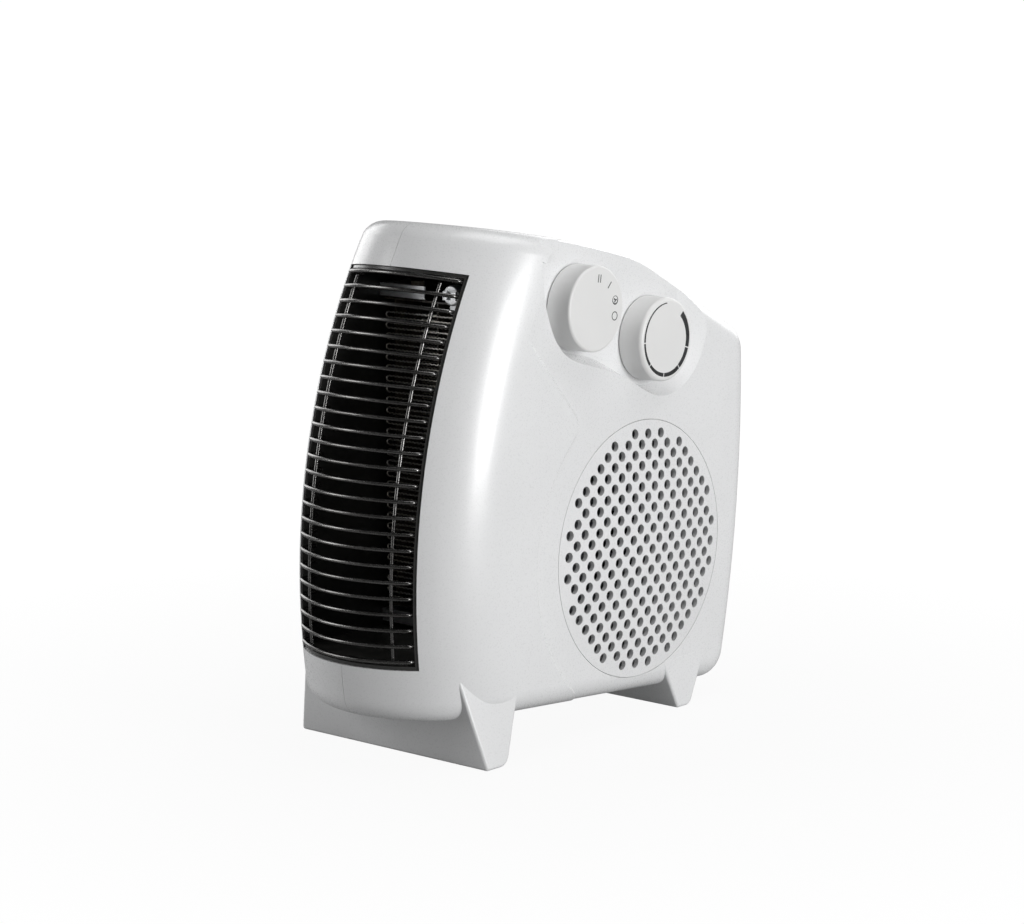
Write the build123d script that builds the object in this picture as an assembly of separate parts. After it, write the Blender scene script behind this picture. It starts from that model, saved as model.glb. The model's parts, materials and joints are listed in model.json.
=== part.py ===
from build123d import *
import math
import os

os.makedirs("parts", exist_ok=True)

# Upright fan heater. Millimetres: X across (knob side +X), -Y front outlet, +Z up.
# The origin is on the floor under the middle of the whole heater.

# ---- driving dimensions: housing ----
FRONT_HALF = 56.3          # half width of the raised front part and radius of the rounded nose
SIDE_HALF = 54.5           # half width of the flat sides round the intake grilles
WALL = 2.5                 # moulded wall
AXIS_Y, AXIS_Z = 195.8, 77.5   # the front bulges about this cross axis
FRONT_R = 314.3            # radius of the front bulge on the middle plane
EDGE_R = 11.0              # rounding of the top, rear and bottom edges
STEP_RUN = 2.5             # width of the sloping step between front part and flat side
STEP_CORNER_R = 9.0
SEAM_GAP = 0.1             # half of the gap between the two half shells

# ---- outlet ----
OPENING_HALF = 35.7
OPENING_TOP, OPENING_BOTTOM = 221.0, 47.0
OPENING_TOP_Y = -68.5      # where OPENING_TOP is measured
CEILING_TILT = 12.0        # the outlet's top face rises towards the front
DUCT_GAP = 0.15
DUCT_WALL = 1.6
DUCT_BACK = -26.0
GUARD_WIRES = 25
FIRST_WIRE, LAST_WIRE = -4.9, 27.2   # angles of the lowest and highest wire about the cross axis
CROSS_R, UPRIGHT_R = 0.9, 0.8
WIRE_LEG = 9.0
LIP_DEPTH = 0.8            # the duct's lip lies this far under the nose surface
UPRIGHT_X = 25.0

# ---- intake grille ----
DISC_Y, DISC_Z = 32.5, 83.7
DISC_R = 61.6
DISC_GAP = 0.25
DISC_RISE = 3.4
DISC_WALL = 2.2
LEDGE_IN_R = 59.6          # inner radius of the ledge that the grille sits on
HOLE_R = 2.4
HOLE_PITCH = 10.0
HOLE_FIELD = 5.7           # radius of the perforated field, in hole pitches
LEAN = 4.6                 # the body leans back by this many degrees

# ---- controls ----
SELECTOR_Y, SELECTOR_Z = -11.5, 202.6
THERMOSTAT_Y, THERMOSTAT_Z = 41.8, 183.2
KNOB_R = 19.8
KNOB_FACE = 62.0
RECESS_FLOOR = 48.5
SPINDLE_R = 3.0
SPINDLE_CLEARANCE = 0.05

# ---- feet and pads ----
FOOT_HALF = 58.0
PAD_FACE = -62.0
TOE_R, FOOT_SIDE_R = 1.5, 1.4

PADS = [(-45, 50, FRONT_HALF), (-16, 178, SIDE_HALF), (97, 156, SIDE_HALF), (98, 34, SIDE_HALF)]

# ---- joining the halves ----
BOSSES = [(-36, 229), (102, 164), (92, 26), (-46, 33)]
BOSS_R, SCREW_R, SCREW_HEAD_R = 4.2, 1.5, 3.2
SCREW_SEAT = -46.0

# ---- cord gland ----
GLAND_X, GLAND_Y, GLAND_Z = 0.0, 110.0, 44.0
GLAND_R, GLAND_BORE_R = 7.0, 3.6

# ---- control bodies behind the recess ----
BUSH_R = 4.8               # threaded bush of each control
HUB_R, HUB_START = 6.0, 52.4
SPINDLE_END = 59.0
SWITCH_FRONT, SWITCH_DEEP = 45.9, 13.0

# ---- heating element ----
ELEMENT_FRONT, ELEMENT_BACK = -51.0, -32.0
ELEMENT_LOW, ELEMENT_TOP = 60.0, 204.0
WINDING_PITCH, WINDING_R = 3.0, 0.5

# ---- blower and motor ----
WHEEL_R, BLADE_CHORD, BLADES = 47.0, 9.0, 32
WHEEL_BACK, WHEEL_FRONT = -8.0, 26.0
SCROLL_LOW, SCROLL_HIGH, SCROLL_WALL = -13.0, 29.5, 1.5
SCROLL_INLET_R = 39.0
MOTOR_SHAFT_R = 2.5
ROTOR_R, AIR_GAP = 11.6, 0.4
STATOR_BACK, STATOR_LONG = -38.0, 15.0
MOTOR_PLATE_R = 46.0
REAR_BRACKET, FRONT_BRACKET = -45.0, -18.0
MOTOR_SCREW_Y = (13.5, 51.5)
BEARING_R = 6.0

CROSS = Plane.YZ           # sketches for pieces that run across the heater


def save(node, shape):
    """Writes one node as a STEP file; a list is written as separate solids."""
    if isinstance(shape, (list, tuple)):
        shape = Compound(children=list(shape))
    shape.label = node
    export_step(shape, f"parts/{node}.step")
    return shape


def across(sketch, x_from, x_to):
    """Extrudes a YZ sketch from x_from to x_to."""
    return Pos(x_from, 0, 0) * extrude(CROSS * sketch, amount=x_to - x_from)


def tube_x(y, z, r_out, r_in, x_from, x_to):
    ring = Circle(r_out) - Circle(r_in) if r_in else Circle(r_out)
    return across(Pos(y, z) * ring, x_from, x_to)


def disc_x(y, z, r, x_from, x_to):
    return tube_x(y, z, r, 0, x_from, x_to)


def box_between(x0, x1, y0, y1, z0, z1):
    return Pos((x0 + x1) / 2, (y0 + y1) / 2, (z0 + z1) / 2) * Box(x1 - x0, y1 - y0, z1 - z0)


def mirrored(shape):
    return mirror(shape, about=Plane.YZ)


# ---------------------------------------------------------------- housing
def nose_revolve(half, centre):
    """Plan profile with a round nose of radius half, turned about the cross axis."""
    profile = Pos(0, -centre) * Circle(half)
    profile += Pos(0, -(centre + 20) / 2) * Rectangle(2 * half, centre - 20)
    profile -= Pos(0, 60) * Rectangle(4 * FRONT_R, 160)
    solid = revolve(profile, axis=Axis.X, revolution_arc=110)
    return Pos(0, AXIS_Y, AXIS_Z) * Rot(-62, 0, 0) * solid


def side_outline():
    """Top, rear and bottom of the body seen from the side, open past the nose."""
    top = ThreePointArc((-140, 251), (-58, 241.3), (37, 221))
    slope = Line(top @ 1, (119.0, 179))
    rear = ThreePointArc((119.0, 179), (117.2, 92), (103, 7.6))
    bottom = Line((103, 7.6), (-54.5, 20.4))
    chin = Line((-54.5, 20.4), (-140, 22.5))
    front = Line((-140, 22.5), (-140, 251))
    face = make_face([top, slope, rear, bottom, chin, front])
    corners = {(37, 221): 110, (119.0, 179): 16, (103, 7.6): 15, (-54.5, 20.4): 80}
    for (y, z), radius in corners.items():
        vertex = face.vertices().sort_by_distance((y, z, 0))[0]
        face = fillet(vertex, radius)
    return face


def housing_block(half, centre, margin=0.0):
    """Nose and side profile together, with the long rim rounded; margin grows the outline."""
    outline = offset(side_outline(), margin) if margin else side_outline()
    reach = FRONT_HALF + 5
    block = nose_revolve(half, centre) & across(outline, -reach, reach)

    def is_rim(edge):
        on_side = abs(abs((edge @ 0.5).X) - half) < 0.01
        return on_side or edge.geom_type == GeomType.BSPLINE

    return fillet([e for e in block.edges() if is_rim(e)], EDGE_R + margin)


def rear_side_region():
    """Everything behind the soft step on the flank, drawn in YZ."""
    arc_r = 77.0
    fade, corner = (-52.5, 194.0), (-11.6, 148.5)
    start = (DISC_Y - arc_r * math.sqrt(0.5), DISC_Z + arc_r * math.sqrt(0.5))
    front = (DISC_Y - arc_r, DISC_Z)
    turn = math.radians(226)
    low = (DISC_Y + arc_r * math.cos(turn), DISC_Z + arc_r * math.sin(turn))
    upper = Line(fade, corner)
    lower = Line(corner, start)
    arc = ThreePointArc(start, front, low)
    tail = Line(low, (8, -10))
    brow = ThreePointArc((-10, 250), (-33.4, 220), fade)
    rest = Polyline((8, -10), (150, -10), (150, 260), (-10, 260), (-10, 250))
    face = make_face([upper, lower, arc, tail, rest, brow])
    vertex = face.vertices().sort_by_distance((*corner, 0))[0]
    return fillet(vertex, STEP_CORNER_R)


def housing_outside():
    """Filled outer shape: raised front part and flatter, slightly narrower rear part."""
    centre = FRONT_R - FRONT_HALF
    region = rear_side_region()
    slope = math.degrees(math.atan(STEP_RUN / (FRONT_HALF - SIDE_HALF)))
    cap = Pos(SIDE_HALF, 0, 0) * extrude(CROSS * region, amount=3, taper=-slope)
    rear_zone = across(region, -SIDE_HALF, SIDE_HALF) + cap + mirrored(cap)
    front = housing_block(FRONT_HALF, centre) - rear_zone
    rear = housing_block(SIDE_HALF, centre + 25) & nose_revolve(FRONT_HALF, centre) & rear_zone
    return front + rear


# ---------------------------------------------------------------- side recess for the knobs
def moved_out(points, centre, distance):
    """The same outline points, each moved straight away from centre."""
    moved = []
    for y, z in points:
        scale = 1 + distance / math.hypot(y - centre[0], z - centre[1])
        moved.append((centre[0] + (y - centre[0]) * scale, centre[1] + (z - centre[1]) * scale))
    return moved


def recess_section(points, grow):
    edge = Spline(*moved_out(points, (26, 215), grow))
    first, last = edge @ 0, edge @ 1
    return make_face([edge, Polyline(last, (last.X, 255), (first.X, 255), first)])


def recess_solid(grow, floor, rim_x):
    """Sloping pocket that holds both knobs and runs out through the top edge."""
    floor_line = [(-36, 226), (-35, 204), (-23.5, 185), (-5, 179.5), (22, 168), (42, 160.5),
                  (58, 166), (66, 184), (67, 210)]
    rim_line = [(-42, 230), (-40, 204), (-27, 182), (3, 170), (28, 161.5), (52, 151.5),
                (76, 157), (93, 176), (94, 214)]
    low = Pos(floor, 0, 0) * (CROSS * recess_section(floor_line, grow))
    high = Pos(rim_x, 0, 0) * (CROSS * recess_section(rim_line, grow))
    return loft([low, high], ruled=True)


# ---------------------------------------------------------------- outlet
def outlet_section(gap, back):
    """Side view of the outlet; gap shrinks it, back is its rear end."""
    rise = math.tan(math.radians(CEILING_TILT))

    def ceiling(y):
        return OPENING_TOP + (OPENING_TOP_Y - y) * rise - gap

    floor = OPENING_BOTTOM + gap
    points = [(-150, floor), (back, floor), (back, ceiling(back)), (-150, ceiling(-150))]
    return make_face(Polyline(*points, close=True))


def outlet_duct():
    skin = nose_revolve(FRONT_HALF - LIP_DEPTH, FRONT_R - FRONT_HALF)
    half = OPENING_HALF - DUCT_GAP
    outer = across(outlet_section(DUCT_GAP, DUCT_BACK), -half, half)
    inner_section = outlet_section(DUCT_GAP + DUCT_WALL, DUCT_BACK + 5)
    inner = across(inner_section, DUCT_WALL - half, half - DUCT_WALL)
    back = across(outlet_section(DUCT_GAP, DUCT_BACK), -half, half)
    back &= box_between(-half, half, DUCT_BACK - DUCT_WALL, DUCT_BACK, 0, 260)
    back -= box_between(SCROLL_LOW, SCROLL_HIGH, DUCT_BACK - 3, DUCT_BACK + 1, 50, 202)
    return ((outer - inner) & skin) + back


def nose_point(angle):
    """Point on the middle line of the nose, angle in degrees above the cross axis."""
    a = math.radians(angle)
    return AXIS_Y - FRONT_R * math.cos(a), AXIS_Z + FRONT_R * math.sin(a)


def cross_wire(index):
    """One bowed guard wire whose ends turn back along the outlet walls."""
    angle = FIRST_WIRE + (LAST_WIRE - FIRST_WIRE) * index / (GUARD_WIRES - 1)
    tilt = angle / 2
    y, z = nose_point(angle)
    end_x = OPENING_HALF - DUCT_GAP - DUCT_WALL - CROSS_R - 0.15
    sag = FRONT_HALF - math.sqrt(FRONT_HALF ** 2 - end_x ** 2)
    bow = ThreePointArc((-end_x, -sag), (0, 0), (end_x, -sag))
    left = Line((-end_x, -sag - WIRE_LEG), (-end_x, -sag))
    right = Line((end_x, -sag), (end_x, -sag - WIRE_LEG))
    path = Wire([left, bow, right])
    corners = [v for v in path.vertices() if abs(v.Y + sag) < 0.01]
    path = path.fillet_2d(2.2, corners)
    section = Plane((-end_x, -sag - WIRE_LEG, 0), x_dir=(1, 0, 0), z_dir=(0, 1, 0)) * Circle(CROSS_R)
    wire = sweep(section, path=path)
    place = Plane((0, y, z), x_dir=(1, 0, 0), z_dir=(0, math.sin(math.radians(tilt)),
                                                    math.cos(math.radians(tilt))))
    return place * (Rot(0, 0, 180) * wire)


def upright_wire(x):
    """Guard wire that follows the nose just behind the cross wires."""
    nose = FRONT_R - FRONT_HALF + math.sqrt(FRONT_HALF ** 2 - x ** 2)
    r = nose - CROSS_R - UPRIGHT_R - 0.35
    section = Plane((x, -r, 0), x_dir=(1, 0, 0), z_dir=(0, 0, 1)) * Circle(UPRIGHT_R)
    bar = revolve(section, axis=Axis.X, revolution_arc=LAST_WIRE - FIRST_WIRE)
    return Pos(0, AXIS_Y, AXIS_Z) * Rot(-LAST_WIRE, 0, 0) * bar


# ---------------------------------------------------------------- intake grille
def hole_lattice():
    """Centres of the grille holes about the disc centre: a square lattice on its corner."""
    lean = math.radians(-LEAN)
    rows = int(HOLE_FIELD * 2)
    for row in range(-rows, rows + 1):
        shift = 0.5 if row % 2 == 0 else 0.0
        for column in range(-7, 8):
            y, z = (column + shift) * HOLE_PITCH, row * HOLE_PITCH / 2
            if math.hypot(y, z) <= HOLE_FIELD * HOLE_PITCH + 0.01:
                yield (y * math.cos(lean) - z * math.sin(lean),
                       y * math.sin(lean) + z * math.cos(lean))


def intake_grille():
    """Domed round grille that seats on the shell's ledge."""
    dome_r = (DISC_R ** 2 + DISC_RISE ** 2) / (2 * DISC_RISE)
    apex = SIDE_HALF + DISC_RISE
    centre = Pos(apex - dome_r, DISC_Y, DISC_Z) * Rot(0, 0, 180)
    blank = disc_x(DISC_Y, DISC_Z, DISC_R, SIDE_HALF - WALL, apex + 1)
    cap = (blank & (centre * Sphere(dome_r))) - centre * Sphere(dome_r - DISC_WALL)
    holes = [disc_x(DISC_Y + y, DISC_Z + z, HOLE_R, SIDE_HALF - 4, apex + 1) for y, z in hole_lattice()]
    return cap.cut(*holes)


# ---------------------------------------------------------------- half shells
def half_shells():
    """Left and right moulded shells, split on the middle plane."""
    outside = housing_outside()
    cavity = housing_block(SIDE_HALF - WALL, FRONT_R - SIDE_HALF, -WALL)
    shell = outside - cavity
    shell += recess_solid(WALL, RECESS_FLOOR - WALL, SIDE_HALF + 4) & outside
    shell -= recess_solid(0, RECESS_FLOOR, SIDE_HALF + 4)
    shell -= across(outlet_section(0, -45), -OPENING_HALF, OPENING_HALF)
    for y, z in ((SELECTOR_Y, SELECTOR_Z), (THERMOSTAT_Y, THERMOSTAT_Z)):
        shell -= disc_x(y, z, BUSH_R + 0.2, RECESS_FLOOR - 6, RECESS_FLOOR + 1)
    gland_hole = Pos(GLAND_X, GLAND_Y, GLAND_Z) * Rot(90, 0, 0) * Cylinder(GLAND_R + 0.1, 60)
    shell -= gland_hole

    ledge = tube_x(DISC_Y, DISC_Z, DISC_R + 3, LEDGE_IN_R, SIDE_HALF - WALL - 2, SIDE_HALF - WALL)
    seat = disc_x(DISC_Y, DISC_Z, DISC_R + DISC_GAP, SIDE_HALF - WALL, SIDE_HALF + 4)

    halves = []
    for sign in (-1, 1):
        near, far = (SEAM_GAP, 80) if sign > 0 else (-80, -SEAM_GAP)
        half = shell & box_between(near, far, -160, 160, -10, 260)
        for piece, keep in ((ledge, True), (seat, False)):
            tool = piece if sign > 0 else mirrored(piece)
            half = half + (tool & outside) if keep else half - tool
        wall_x = sign * (SIDE_HALF - 1)
        for y, z in BOSSES:
            low, high = sorted((sign * SEAM_GAP, wall_x))
            half += disc_x(y, z, BOSS_R, low, high) & housing_outside()
        for y, z in BOSSES:
            if sign < 0:
                half -= disc_x(y, z, SCREW_R + 0.5, -80, 1)
                half -= disc_x(y, z, SCREW_HEAD_R + 0.4, -80, SCREW_SEAT)
            else:
                half -= disc_x(y, z, SCREW_R + 0.05, -1, 17)
        halves.append(half)
    return halves


def case_screw(y, z):
    head = disc_x(y, z, SCREW_HEAD_R, SCREW_SEAT - 2.4, SCREW_SEAT)
    shank = disc_x(y, z, SCREW_R, SCREW_SEAT, 15)
    cross = Rectangle(3.6, 0.9) + Rectangle(0.9, 3.6)
    return head + shank - across(Pos(y, z) * cross, SCREW_SEAT - 3, SCREW_SEAT - 1.2)


# ---------------------------------------------------------------- feet and pads
def foot(bottom, top, heel_r, outside):
    """Splayed foot; bottom and top are (front y, rear y, front half width, rear half width, z)."""

    def ring(front_y, rear_y, front_half, rear_half, z):
        return Pos(0, 0, z) * make_face(Polyline(
            (-front_half, front_y), (front_half, front_y), (rear_half, rear_y),
            (-rear_half, rear_y), close=True))

    def sole_edge(solid, y):
        return solid.edges().sort_by_distance((0, y, 0))[0]

    solid = loft([ring(*bottom), ring(*top)], ruled=True)
    solid = fillet(sole_edge(solid, bottom[1]), heel_r)
    solid = fillet(sole_edge(solid, bottom[0]), TOE_R)
    sides = [e for e in solid.edges()
             if (e @ 0).X * (e @ 1).X > 0 and (e @ 0.5).Z < top[4] - 1]
    return fillet(sides, FOOT_SIDE_R) - outside


def lying_pad(y, z, wall_x):
    pad = disc_x(y, z, 6.5, PAD_FACE, -wall_x - 0.02)
    rim = [e for e in pad.edges() if abs((e @ 0).X - PAD_FACE) < 0.01]
    return fillet(rim, 1.5)


# ---------------------------------------------------------------- controls
def knob(y, z, crown_r):
    """Hollow knob with a hub that grips the spindle."""
    body = disc_x(y, z, KNOB_R, RECESS_FLOOR + 0.6, KNOB_FACE)
    rim = [e for e in body.edges() if abs((e @ 0).X - KNOB_FACE) < 0.01]
    body = fillet(rim, crown_r)
    body -= tube_x(y, z, KNOB_R - 1.8, HUB_R, RECESS_FLOOR, KNOB_FACE - 2.4)
    body -= disc_x(y, z, HUB_R + 0.1, RECESS_FLOOR, HUB_START)
    return body - disc_x(y, z, SPINDLE_R, RECESS_FLOOR, SPINDLE_END)


def spindle(y, z):
    return disc_x(y, z, SPINDLE_R, SWITCH_FRONT - SWITCH_DEEP + 2, SPINDLE_END)


def control_body(y, z, width, height):
    """Switch or thermostat body with its threaded bush."""
    body = box_between(SWITCH_FRONT - SWITCH_DEEP, SWITCH_FRONT, y - width / 2, y + width / 2,
                       z - height / 2, z + height / 2)
    body = fillet(body.edges().filter_by(Axis.X), 1.5)
    body += disc_x(y, z, BUSH_R, SWITCH_FRONT, HUB_START - 0.4)
    for side in (-1, 1):
        tag_y = y + side * width / 4
        body += box_between(SWITCH_FRONT - SWITCH_DEEP - 4, SWITCH_FRONT - SWITCH_DEEP,
                            tag_y - 0.4, tag_y + 0.4, z - 3.2, z + 3.2)
    return body - disc_x(y, z, SPINDLE_R + SPINDLE_CLEARANCE, SWITCH_FRONT - SWITCH_DEEP + 1.9, 60)


def bush_nut(y, z):
    nut = across(Pos(y, z) * RegularPolygon(8.0, 6), RECESS_FLOOR + 0.02, RECESS_FLOOR + 2.4)
    return nut - disc_x(y, z, BUSH_R + 0.05, RECESS_FLOOR - 1, RECESS_FLOOR + 4)


# ---------------------------------------------------------------- heating element
def element_frame():
    """Mica boards: uprights that carry the windings, closed by a shelf at each end."""
    boards = [box_between(x - 0.4, x + 0.4, ELEMENT_FRONT + 0.65, ELEMENT_BACK - 0.65,
                          ELEMENT_LOW, ELEMENT_TOP) for x in (-26, 0, 26)]
    frame = box_between(-32, 32, ELEMENT_FRONT, ELEMENT_BACK, ELEMENT_LOW - 0.8, ELEMENT_LOW)
    frame += box_between(-32, 32, ELEMENT_FRONT, ELEMENT_BACK, ELEMENT_TOP, ELEMENT_TOP + 0.8)
    for board in boards:
        frame += board
    return frame


def winding(y):
    """One resistance winding: a wire that runs to and fro across the outlet."""
    pitch = WINDING_PITCH
    count = int((ELEMENT_TOP - ELEMENT_LOW - 6) / pitch)
    x = 30.0
    edges = []
    for n in range(count):
        z = ELEMENT_LOW + 3 + n * pitch
        side = 1 if n % 2 == 0 else -1
        edges.append(Line((-side * x, y, z), (side * x, y, z)))
        if n < count - 1:
            edges.append(ThreePointArc((side * x, y, z), (side * (x + pitch / 2), y, z + pitch / 2),
                                       (side * x, y, z + pitch)))
    start = Plane((-x, y, ELEMENT_LOW + 3), x_dir=(0, 1, 0), z_dir=(1, 0, 0))
    return sweep(start * Circle(WINDING_R), path=Wire(edges))


def element_bracket(z_low, z_high):
    """Bright folded strip that carries the element and is fixed to the duct wall."""
    face = box_between(-33.6, -6, ELEMENT_FRONT - 1.6, ELEMENT_FRONT - 0.8, z_low, z_high)
    flange = box_between(-33.6, -32.8, ELEMENT_FRONT - 1.6, ELEMENT_BACK, z_low, z_high)
    return face + flange


# ---------------------------------------------------------------- blower
def blower_wheel():
    """Forward-curved centrifugal wheel, open on the knob side."""
    back, front = WHEEL_BACK, WHEEL_FRONT
    wheel = tube_x(DISC_Y, DISC_Z, WHEEL_R, MOTOR_SHAFT_R, back, back + 1.2)
    wheel += tube_x(DISC_Y, DISC_Z, 8, MOTOR_SHAFT_R, back, back + 12)
    ring = tube_x(DISC_Y, DISC_Z, WHEEL_R, WHEEL_R - BLADE_CHORD, front - 1.5, front)
    inner_r = WHEEL_R - BLADE_CHORD
    arc_out = ThreePointArc((inner_r, 0), (inner_r + BLADE_CHORD / 2, -1.6), (WHEEL_R - 0.3, 1.0))
    arc_in = ThreePointArc((WHEEL_R - 0.3, 1.9), (inner_r + BLADE_CHORD / 2, -0.7), (inner_r, 0.9))
    blade = make_face([arc_out, Line(arc_out @ 1, arc_in @ 0), arc_in, Line(arc_in @ 1, arc_out @ 0)])
    section = across(blade, back + 0.6, front - 0.6)
    step = 360 / BLADES
    blades = [Pos(0, DISC_Y, DISC_Z) * Rot(step * n, 0, 0) * section for n in range(BLADES)]
    return wheel.fuse(ring, *blades)


def scroll():
    """Spiral casing round the wheel, opening into the outlet duct."""
    low, high = SCROLL_LOW, SCROLL_HIGH
    curve = [(-28.0, 48.2), (8.0, 34.5), (32.5, 30.0), (70.0, 42.0), (89.5, 84.0), (72.0, 126.0),
             (32.5, 146.0), (0.0, 168.0), (-28.0, 206.0)]
    def spiral(grow):
        line = Spline(*moved_out(curve, (DISC_Y, DISC_Z), grow))
        return make_face([line, Line(line @ 1, line @ 0)])

    keep = Pos(DUCT_BACK + 85.1, 120) * Rectangle(170, 300)
    outer = spiral(SCROLL_WALL * 1.3) & keep
    shell = across(outer - spiral(0), low, high)
    for x in (low - SCROLL_WALL, high):
        cheek = across(outer, x, x + SCROLL_WALL)
        bore = SCROLL_INLET_R if x == high else MOTOR_PLATE_R - 2
        shell += cheek - disc_x(DISC_Y, DISC_Z, bore, x - 1, x + SCROLL_WALL + 1)
    return shell


# ---------------------------------------------------------------- motor
def motor_stator():
    """Shaded-pole lamination stack."""
    x0, x1 = STATOR_BACK, STATOR_BACK + STATOR_LONG
    stack = across(Pos(DISC_Y, DISC_Z - 6) * Rectangle(44, 56), x0, x1)
    stack = fillet(stack.edges().filter_by(Axis.X), 3)
    stack -= disc_x(DISC_Y, DISC_Z, ROTOR_R + AIR_GAP, x0 - 1, x1 + 1)
    window = Pos(DISC_Y, DISC_Z - 20.5) * Rectangle(22, 11)
    stack -= across(window, x0 - 1, x1 + 1)
    for y in MOTOR_SCREW_Y:
        stack -= disc_x(y, DISC_Z, 1.6, x0 - 1, x1 + 1)
    return stack


def motor_coil():
    """Copper winding on the lower limb of the stack."""
    z0, z1 = DISC_Z - 34.0, DISC_Z - 26.0
    x0, x1 = STATOR_BACK, STATOR_BACK + STATOR_LONG
    outer = box_between(x0 - 4.5, x1 + 4.5, DISC_Y - 10, DISC_Y + 10, z0 - 4.5, z1 + 4.5)
    outer = fillet(outer.edges().filter_by(Axis.Y), 3)
    return outer - box_between(x0 - 0.1, x1 + 0.1, -200, 200, z0 - 0.1, z1 + 0.1)


def motor_bracket(x, post_from, post_to):
    """Bridge that holds a bearing at one end of the motor; its posts clear the long screws."""
    plate = across(Pos(DISC_Y, DISC_Z) * SlotOverall(52, 13), x, x + 1.2)
    plate += disc_x(DISC_Y, DISC_Z, 10, x, x + 1.2)
    for y in MOTOR_SCREW_Y:
        plate += disc_x(y, DISC_Z, 2.8, post_from, post_to)
        plate -= disc_x(y, DISC_Z, 1.6, x - 20, x + 20)
    return plate - disc_x(DISC_Y, DISC_Z, BEARING_R, x - 1, x + 3)


def motor_screw(y):
    head = disc_x(y, DISC_Z, 2.8, REAR_BRACKET - 2.02, REAR_BRACKET - 0.02)
    return head + disc_x(y, DISC_Z, 1.5, REAR_BRACKET - 0.5, SCROLL_LOW - 0.5)


def bearing(x):
    return tube_x(DISC_Y, DISC_Z, BEARING_R, MOTOR_SHAFT_R + 0.04, x - 1.5, x + 2.7)


def motor_plate():
    """Round plate that closes the scroll and carries the motor."""
    plate = disc_x(DISC_Y, DISC_Z, MOTOR_PLATE_R, SCROLL_LOW - SCROLL_WALL - 1.02,
                   SCROLL_LOW - SCROLL_WALL - 0.02)
    plate -= disc_x(DISC_Y, DISC_Z, 11, -60, 0)
    for y in MOTOR_SCREW_Y:
        plate -= disc_x(y, DISC_Z, 1.6, -60, 0)
    vents = [Pos(0, DISC_Y, DISC_Z) * Rot(30 * n + 15, 0, 0) * Pos(0, 33, 0)
             * Rot(0, 90, 0) * Cylinder(4, 200) for n in range(12)]
    return plate.cut(*vents)


def bearings():
    return [bearing(REAR_BRACKET), bearing(FRONT_BRACKET)]


# ---------------------------------------------------------------- small inner pieces
def ceramic_standoff(x, z_low, z_high):
    y = (ELEMENT_FRONT + ELEMENT_BACK) / 2
    waist = Pos(x, y, (z_low + z_high) / 2)
    post = waist * Cylinder(3.2, z_high - z_low)
    groove = waist * (Cylinder(4, 2.4) - Cylinder(2.4, 2.4))
    return post - groove


def thermal_cutout():
    """Bimetal disc switch on a tab in front of the upper shelf."""
    x, z, y = 13.0, 209.0, ELEMENT_FRONT - 0.02
    cup = Pos(x, y - 2.5, z) * Rot(90, 0, 0) * Cylinder(4.8, 5)
    cup = fillet(cup.edges().sort_by(Axis.Y)[0], 1.0)
    cup += box_between(x - 4, x + 4, y - 0.8, y, 200, z)
    for dx in (-2.6, 2.6):
        cup += box_between(x + dx - 1.2, x + dx + 1.2, y - 6.2, y - 4.6, 207, 211)
    return cup


def thermal_fuse():
    place = Pos(26, ELEMENT_FRONT - 2.6, 207)
    return place * Rot(0, 90, 0) * Cylinder(1.9, 7) + place * Rot(0, 90, 0) * Cylinder(0.5, 12)


def terminal_block():
    x0, x1, y0, z0 = -44.0, -30.0, 66.0, 52.0
    block = box_between(x0, x1, y0, y0 + 30, z0, z0 + 12)
    for n in range(3):
        y = y0 + 5 + 10 * n
        block -= Pos(x0, y, z0 + 6) * Rot(0, 90, 0) * Cylinder(3.2, 10)
        block -= Pos((x0 + x1) / 2, y, z0 + 12) * Cylinder(2.0, 4)
    return block


def terminal_screws():
    screws = []
    for n in range(3):
        y = 71.0 + 10 * n
        screw = Pos(-37, y, 63.0) * Cylinder(1.9, 2.0)
        screws.append(screw - box_between(-40, -34, y - 0.35, y + 0.35, 63.3, 65))
    return screws


def cord_gland(outside):
    """Round gland gripped by the two shells, with a bore for the supply cord."""
    flange = Pos(GLAND_X, 111.5, GLAND_Z) * Rot(90, 0, 0) * Cylinder(GLAND_R + 2.2, 6)
    rim = flange.edges().sort_by(Axis.Y)[-1]
    flange = fillet(rim, 1.2) - outside
    body = Pos(GLAND_X, 108.5, GLAND_Z) * Rot(90, 0, 0) * Cylinder(GLAND_R, 10)
    collar = Pos(GLAND_X, 103.5, GLAND_Z) * Rot(90, 0, 0) * Cylinder(GLAND_R + 2, 2)
    bore = Pos(GLAND_X, 110, GLAND_Z) * Rot(90, 0, 0) * Cylinder(GLAND_BORE_R, 40)
    return flange + body + collar - bore


# ---------------------------------------------------------------- write every node
def write_housing():
    left, right = half_shells()
    outside = housing_outside()
    save("left_half_shell", left)
    save("right_half_shell", right)
    grille = intake_grille()
    save("right_intake_grille", grille)
    save("left_intake_grille", mirrored(grille))
    save("front_foot", foot((-83.0, -69.0, 58, 58, 0), (-91.5, -56.0, 46.4, 56.0, 45), 6.0, outside))
    save("rear_foot", foot((62.0, 72.0, 55.8, 55.8, 0), (50.5, 85.0, 54.65, 54.65, 25), 4.5, outside))
    save("lying_pads", [lying_pad(*place) for place in PADS])
    save("case_screws", [case_screw(y, z) for y, z in BOSSES])
    save("cord_gland", cord_gland(outside))


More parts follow.
